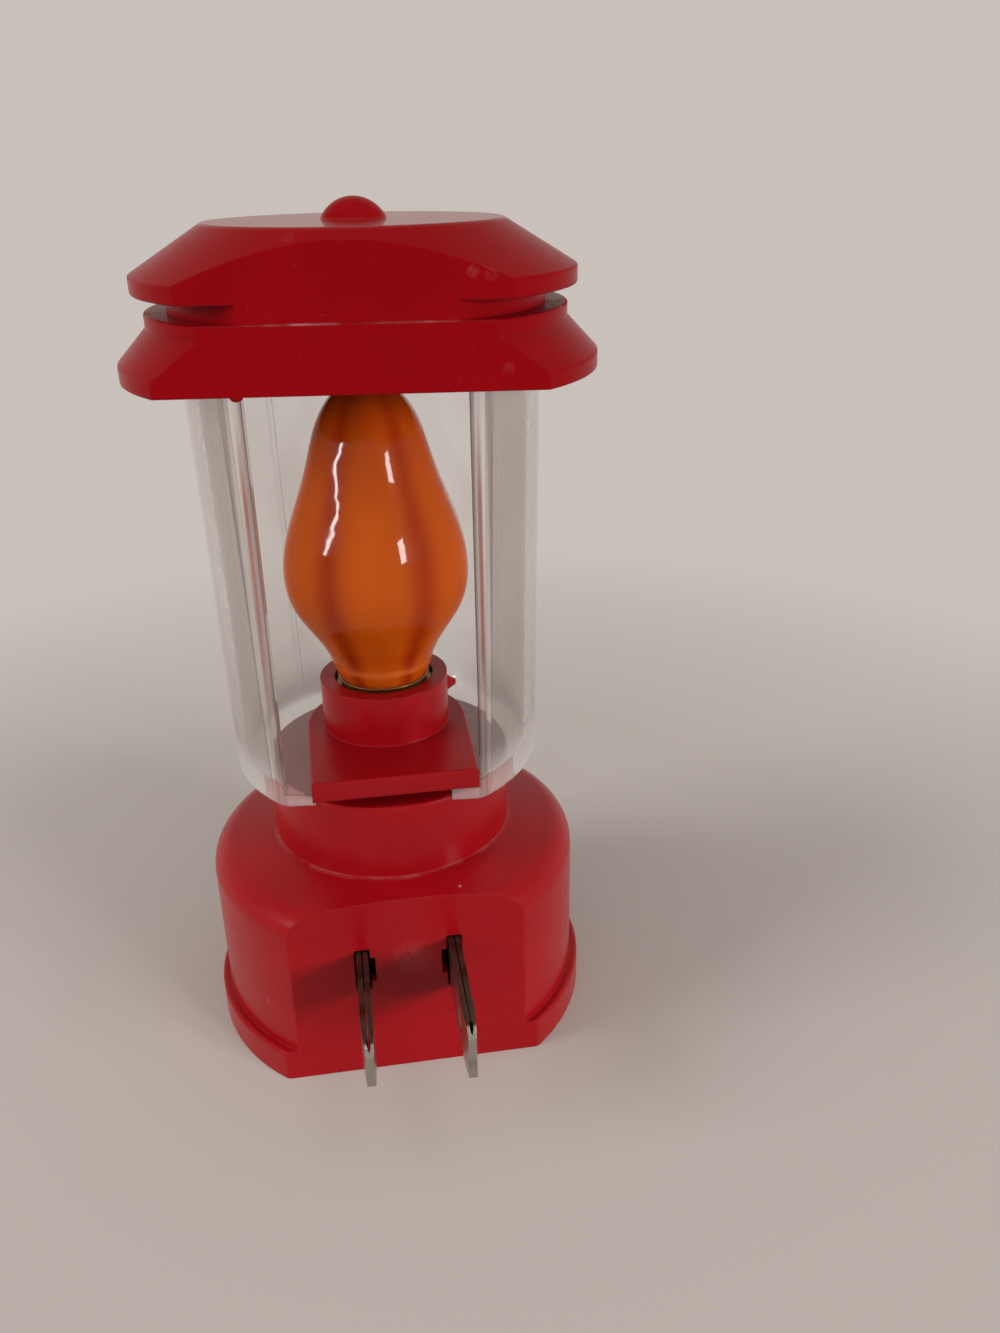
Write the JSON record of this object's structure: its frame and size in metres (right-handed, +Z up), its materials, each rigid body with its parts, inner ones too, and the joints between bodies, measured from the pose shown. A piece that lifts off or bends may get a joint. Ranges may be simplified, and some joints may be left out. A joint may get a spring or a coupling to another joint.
{
  "type": "plug-in night light",
  "caption": "Lantern-shaped plug-in night light: two-tier roof, clear globe open at the wall side, flame bulb in a screw socket, D-shaped base with two plug blades.",
  "frame": {"origin": "on the lantern's axis, at the bottom face of the base", "axes": "+Z up along the lantern's axis; -Y towards the wall, the way the plug blades point; +X to the right as seen from the plug side"},
  "size_m": [0.0586, 0.0688, 0.1148],
  "materials": {
    "red_plastic": "glossy moulded polystyrene, opaque red",
    "clear_plastic": "clear moulded polystyrene, polished",
    "orange_glass": "orange lacquered fluted glass, glossy",
    "clear_glass": "clear glass",
    "black_glass": "black insulating glass, glossy",
    "brass": "plain drawn brass",
    "plated_brass": "nickel-plated folded brass strip",
    "solder": "solder, dull",
    "fibre": "brown insulating fibre",
    "red_plastic_inner": "glossy moulded polystyrene, opaque red",
    "wire_insulation": "white PVC insulation",
    "steel": "zinc-plated steel"
  },
  "bodies": {
    "base": {"base_housing": "red_plastic", "base_bottom_cover": "red_plastic", "blade_left": "plated_brass", "blade_right": "plated_brass", "blade_retainer": "red_plastic_inner", "retainer_screws": "steel", "socket_housing_wall_half": "red_plastic", "socket_housing_room_half": "red_plastic", "socket_screw_shell": "brass", "socket_insulating_disc": "fibre", "socket_center_contact": "brass", "socket_center_terminal": "brass", "socket_rivet": "brass", "lead_wire_left": "wire_insulation", "lead_wire_right": "wire_insulation"},
    "shade": {"globe": "clear_plastic", "roof_lower": "red_plastic", "roof_upper": "red_plastic"},
    "bulb_tip": {"bulb_center_contact": "solder"},
    "bulb": {"bulb_glass": "orange_glass", "bulb_screw_shell": "brass", "bulb_insulator": "black_glass", "bulb_stem": "clear_glass", "bulb_lead_in_wires": "steel", "bulb_filament": "steel"}
  },
  "joints": [
    {"name": "shade_swivel", "type": "hinge", "parent": "base", "child": "shade", "pos_m": [0, 0, 0.04075], "axis": [0, 0, 1], "range_deg": [0, 12.4]},
    {"name": "bulb_rise", "type": "slide", "parent": "base", "child": "bulb_tip", "axis": [0, 0, 1], "range_m": [0, 0.0089]},
    {"name": "bulb_turn", "type": "hinge", "parent": "bulb_tip", "child": "bulb", "pos_m": [0, 0, 0.045], "axis": [0, 0, 1], "range_deg": [0, 1260]}
  ],
  "couplings": [
    {"joint": "bulb_rise", "follows": "bulb_turn", "m_per_rad": 0.00040425}
  ]
}
